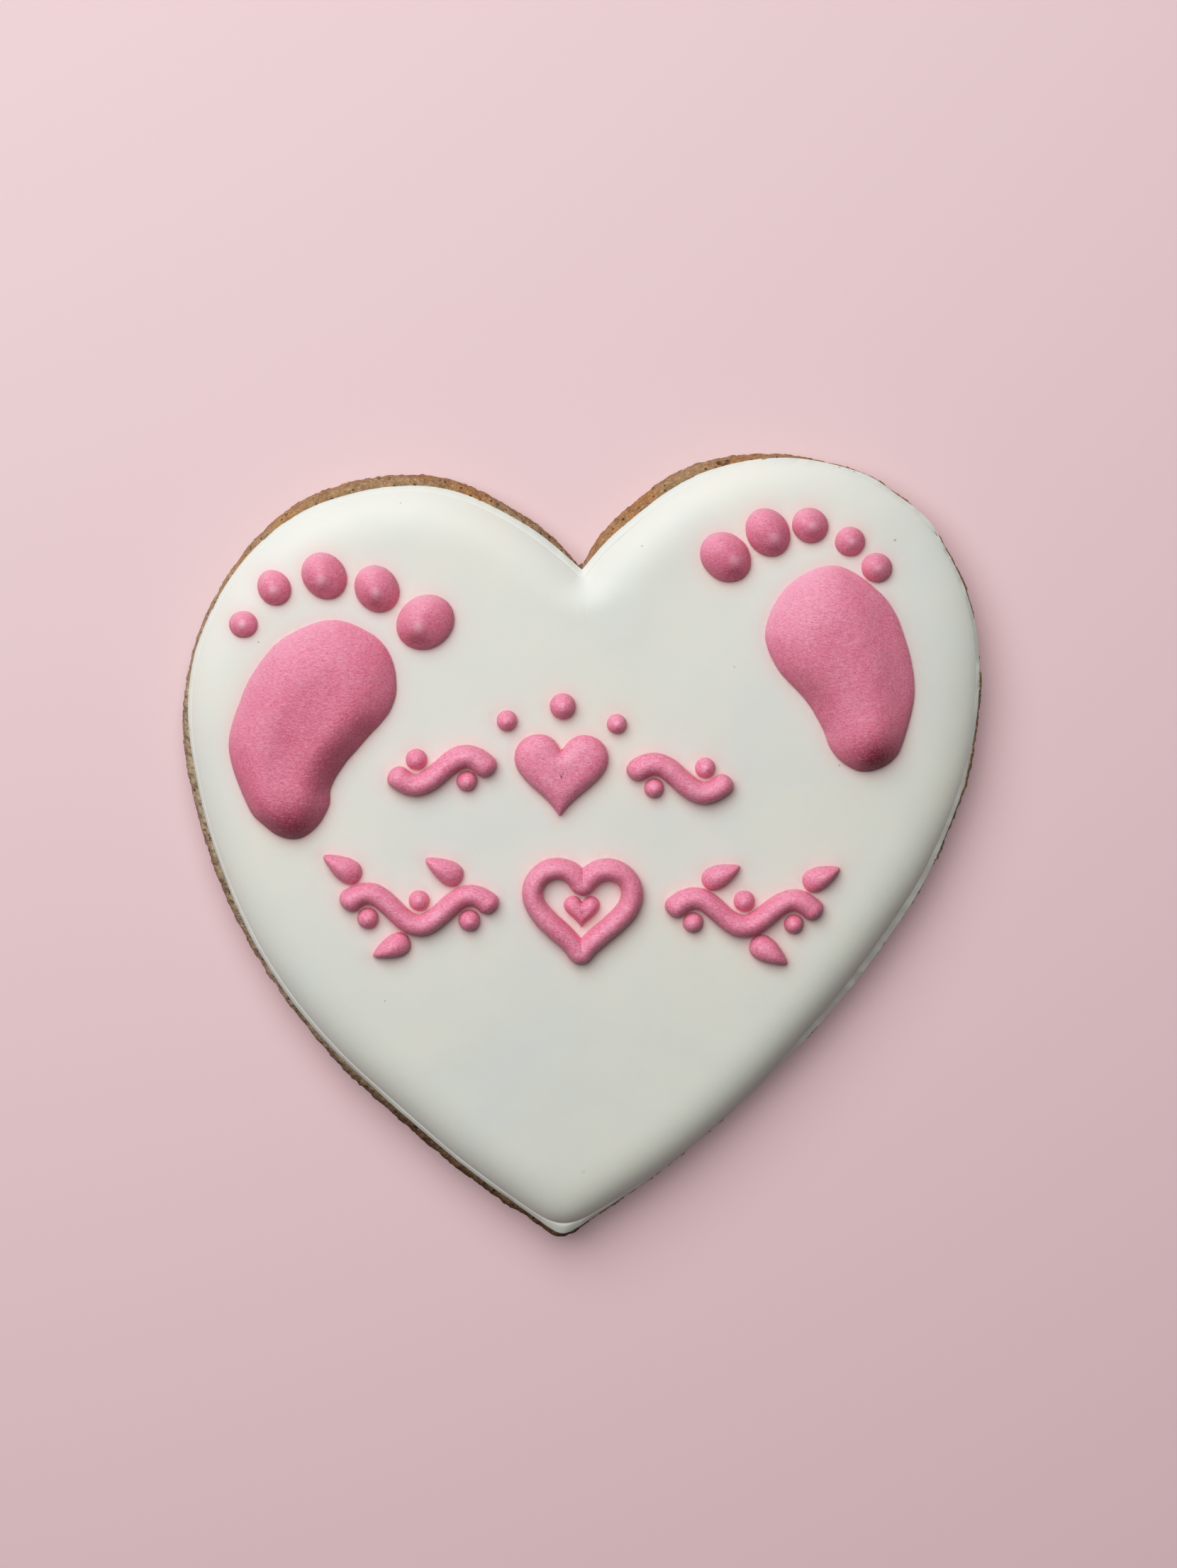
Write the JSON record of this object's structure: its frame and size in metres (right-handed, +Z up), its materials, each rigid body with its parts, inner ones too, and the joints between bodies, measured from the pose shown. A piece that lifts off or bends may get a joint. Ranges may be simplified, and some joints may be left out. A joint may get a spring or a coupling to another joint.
{
  "type": "iced gingerbread cookie",
  "caption": "Heart-shaped gingerbread cookie with poured white icing, pink piped footprints and a small piped garland of hearts, vines, leaves and beads.",
  "frame": {"origin": "under the middle of the cookie's outline, on the surface that it lies on", "axes": "+Z up through the icing, -Y towards the point of the heart, +X towards the lobe with the higher footprint"},
  "size_m": [0.1106, 0.1109, 0.0131],
  "materials": {
    "dough": "baked gingerbread, dry and finely cragged, golden brown at the edge",
    "white_icing": "poured royal icing, warm white, smooth satin",
    "pink_icing": "piped and flooded royal icing, pink, matte with a fine sugar grain",
    "piping_icing": "piped royal icing, lighter pink, matte with a fine sugar grain"
  },
  "bodies": {
    "root": {"cookie": "dough", "icing": "white_icing", "sole_left": "pink_icing", "sole_right": "pink_icing", "toe_left_1": "pink_icing", "toe_left_2": "pink_icing", "toe_left_3": "pink_icing", "toe_left_4": "pink_icing", "toe_left_5": "pink_icing", "toe_right_1": "pink_icing", "toe_right_2": "pink_icing", "toe_right_3": "pink_icing", "toe_right_4": "pink_icing", "toe_right_5": "pink_icing", "wave_left": "piping_icing", "wave_right": "piping_icing", "heart_puffy": "piping_icing", "heart_line": "piping_icing", "heart_inner": "piping_icing", "vine_left": "piping_icing", "vine_right": "piping_icing", "leaf_1": "piping_icing", "leaf_2": "piping_icing", "leaf_3": "piping_icing", "leaf_4": "piping_icing", "leaf_5": "piping_icing", "leaf_6": "piping_icing", "bead_1": "piping_icing", "bead_2": "piping_icing", "bead_3": "piping_icing", "bead_4": "piping_icing", "bead_5": "piping_icing", "bead_6": "piping_icing", "bead_7": "piping_icing", "bead_8": "piping_icing", "bead_9": "piping_icing", "bead_10": "piping_icing", "dot_1": "piping_icing", "dot_2": "piping_icing", "dot_3": "piping_icing"}
  },
  "joints": []
}
